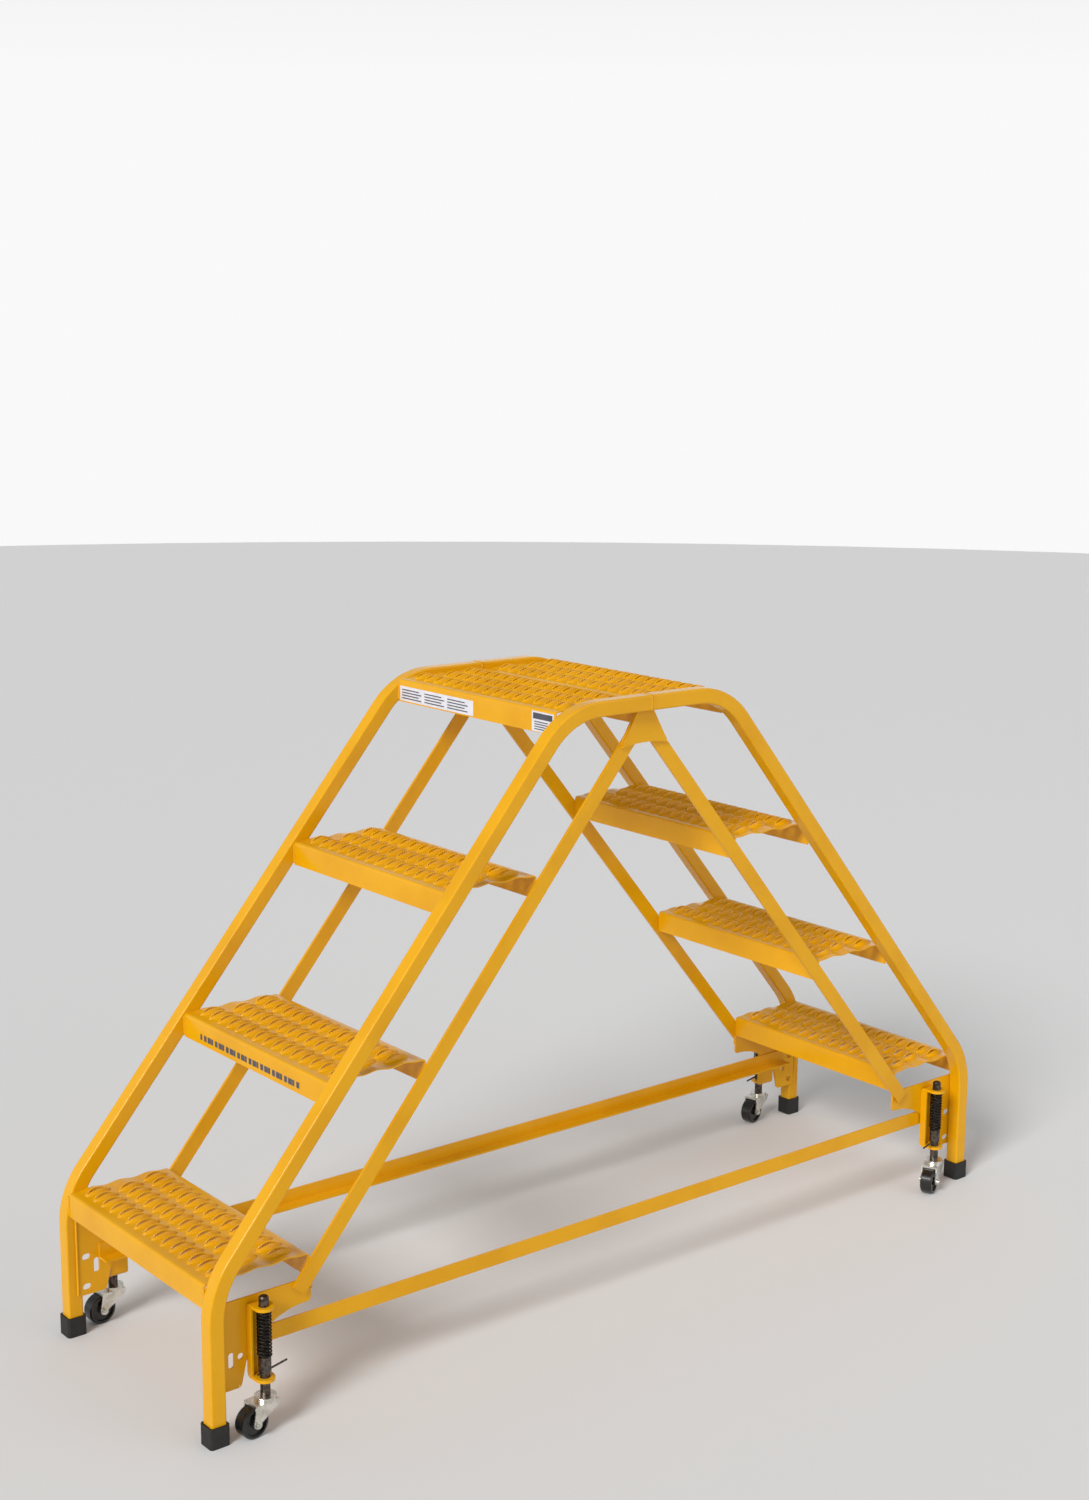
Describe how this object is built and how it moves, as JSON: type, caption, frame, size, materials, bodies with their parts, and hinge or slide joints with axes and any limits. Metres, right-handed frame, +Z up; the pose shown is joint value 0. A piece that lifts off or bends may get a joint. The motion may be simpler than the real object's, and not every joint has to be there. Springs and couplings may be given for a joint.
{
  "type": "mobile ladder stand",
  "caption": "Double-sided rolling step ladder with serrated grating treads, a shared top platform, square-tube rails, rubber feet and spring-loaded swivel casters.",
  "frame": {"origin": "on the floor at the middle of the ladder", "axes": "+X along the ladder towards the right-hand flight, +Y across it towards the rear, +Z up"},
  "size_m": [1.6582, 0.5157, 1.016],
  "materials": {
    "yellow_enamel": "gloss powder coat",
    "black_rubber": "matt moulded",
    "black_wheel": "satin hard rubber",
    "zinc_plate": "bright zinc plate",
    "plain_steel": "oiled plain steel",
    "spring_steel": "black oiled",
    "label_film": "printed film, blank"
  },
  "bodies": {
    "frame": {"rail_left_front": "yellow_enamel", "brace_left_front": "yellow_enamel", "caster_plate_left_front": "yellow_enamel", "caster_bracket_left_front": "yellow_enamel", "foot_left_front": "black_rubber", "stem_spring_left_front": "spring_steel", "rail_left_rear": "yellow_enamel", "brace_left_rear": "yellow_enamel", "caster_plate_left_rear": "yellow_enamel", "caster_bracket_left_rear": "yellow_enamel", "foot_left_rear": "black_rubber", "stem_spring_left_rear": "spring_steel", "tread_left_1": "yellow_enamel", "tread_left_2": "yellow_enamel", "tread_left_3": "yellow_enamel", "platform_plank_left": "yellow_enamel", "rail_right_front": "yellow_enamel", "brace_right_front": "yellow_enamel", "caster_plate_right_front": "yellow_enamel", "caster_bracket_right_front": "yellow_enamel", "foot_right_front": "black_rubber", "stem_spring_right_front": "spring_steel", "rail_right_rear": "yellow_enamel", "brace_right_rear": "yellow_enamel", "caster_plate_right_rear": "yellow_enamel", "caster_bracket_right_rear": "yellow_enamel", "foot_right_rear": "black_rubber", "stem_spring_right_rear": "spring_steel", "tread_right_1": "yellow_enamel", "tread_right_2": "yellow_enamel", "tread_right_3": "yellow_enamel", "platform_plank_right": "yellow_enamel", "top_gusset_front": "yellow_enamel", "base_bar_front": "yellow_enamel", "top_gusset_rear": "yellow_enamel", "base_bar_rear": "yellow_enamel", "label_platform_long": "label_film", "label_platform_small": "label_film", "label_tread_stripe": "label_film"},
    "stem_left_front": {"caster_stem_left_front": "plain_steel", "stem_retainer_left_front": "plain_steel"},
    "swivel_left_front": {"caster_fork_left_front": "zinc_plate", "caster_axle_left_front": "zinc_plate"},
    "wheel_left_front": {"caster_wheel_left_front": "black_wheel"},
    "stem_left_rear": {"caster_stem_left_rear": "plain_steel", "stem_retainer_left_rear": "plain_steel"},
    "swivel_left_rear": {"caster_fork_left_rear": "zinc_plate", "caster_axle_left_rear": "zinc_plate"},
    "wheel_left_rear": {"caster_wheel_left_rear": "black_wheel"},
    "stem_right_front": {"caster_stem_right_front": "plain_steel", "stem_retainer_right_front": "plain_steel"},
    "swivel_right_front": {"caster_fork_right_front": "zinc_plate", "caster_axle_right_front": "zinc_plate"},
    "wheel_right_front": {"caster_wheel_right_front": "black_wheel"},
    "stem_right_rear": {"caster_stem_right_rear": "plain_steel", "stem_retainer_right_rear": "plain_steel"},
    "swivel_right_rear": {"caster_fork_right_rear": "zinc_plate", "caster_axle_right_rear": "zinc_plate"},
    "wheel_right_rear": {"caster_wheel_right_rear": "black_wheel"}
  },
  "joints": [
    {"name": "stem_slide_left_front", "type": "slide", "parent": "frame", "child": "stem_left_front", "axis": [0, 0, 1], "range_m": [-0.006, 0.015], "stiffness_N_per_m": 3000, "springref_m": -0.012, "deforming": ["stem_spring_left_front"]},
    {"name": "swivel_left_front", "type": "hinge", "parent": "stem_left_front", "child": "swivel_left_front", "pos_m": [-0.735, -0.23395, 0.057], "axis": [0, 0, 1], "continuous": true},
    {"name": "wheel_spin_left_front", "type": "hinge", "parent": "swivel_left_front", "child": "wheel_left_front", "pos_m": [-0.76046, -0.23663, 0.0235], "axis": [0.1045, -0.9945, 0], "continuous": true},
    {"name": "stem_slide_left_rear", "type": "slide", "parent": "frame", "child": "stem_left_rear", "axis": [0, 0, 1], "range_m": [-0.006, 0.015], "stiffness_N_per_m": 3000, "springref_m": -0.012, "deforming": ["stem_spring_left_rear"]},
    {"name": "swivel_left_rear", "type": "hinge", "parent": "stem_left_rear", "child": "swivel_left_rear", "pos_m": [-0.735, 0.23395, 0.057], "axis": [0, 0, 1], "continuous": true},
    {"name": "wheel_spin_left_rear", "type": "hinge", "parent": "swivel_left_rear", "child": "wheel_left_rear", "pos_m": [-0.76057, 0.23261, 0.0235], "axis": [0.0523, -0.9986, 0], "continuous": true},
    {"name": "stem_slide_right_front", "type": "slide", "parent": "frame", "child": "stem_right_front", "axis": [0, 0, 1], "range_m": [-0.006, 0.015], "stiffness_N_per_m": 3000, "springref_m": -0.012, "deforming": ["stem_spring_right_front"]},
    {"name": "swivel_right_front", "type": "hinge", "parent": "stem_right_front", "child": "swivel_right_front", "pos_m": [0.735, -0.23395, 0.057], "axis": [0, 0, 1], "continuous": true},
    {"name": "wheel_spin_right_front", "type": "hinge", "parent": "swivel_right_front", "child": "wheel_right_front", "pos_m": [0.71161, -0.24436, 0.0235], "axis": [0.4067, -0.9135, 0], "continuous": true},
    {"name": "stem_slide_right_rear", "type": "slide", "parent": "frame", "child": "stem_right_rear", "axis": [0, 0, 1], "range_m": [-0.006, 0.015], "stiffness_N_per_m": 3000, "springref_m": -0.012, "deforming": ["stem_spring_right_rear"]},
    {"name": "swivel_right_rear", "type": "hinge", "parent": "stem_right_rear", "child": "swivel_right_rear", "pos_m": [0.735, 0.23395, 0.057], "axis": [0, 0, 1], "continuous": true},
    {"name": "wheel_spin_right_rear", "type": "hinge", "parent": "swivel_right_rear", "child": "wheel_right_rear", "pos_m": [0.71006, 0.22819, 0.0235], "axis": [0.225, -0.9744, 0], "continuous": true}
  ]
}
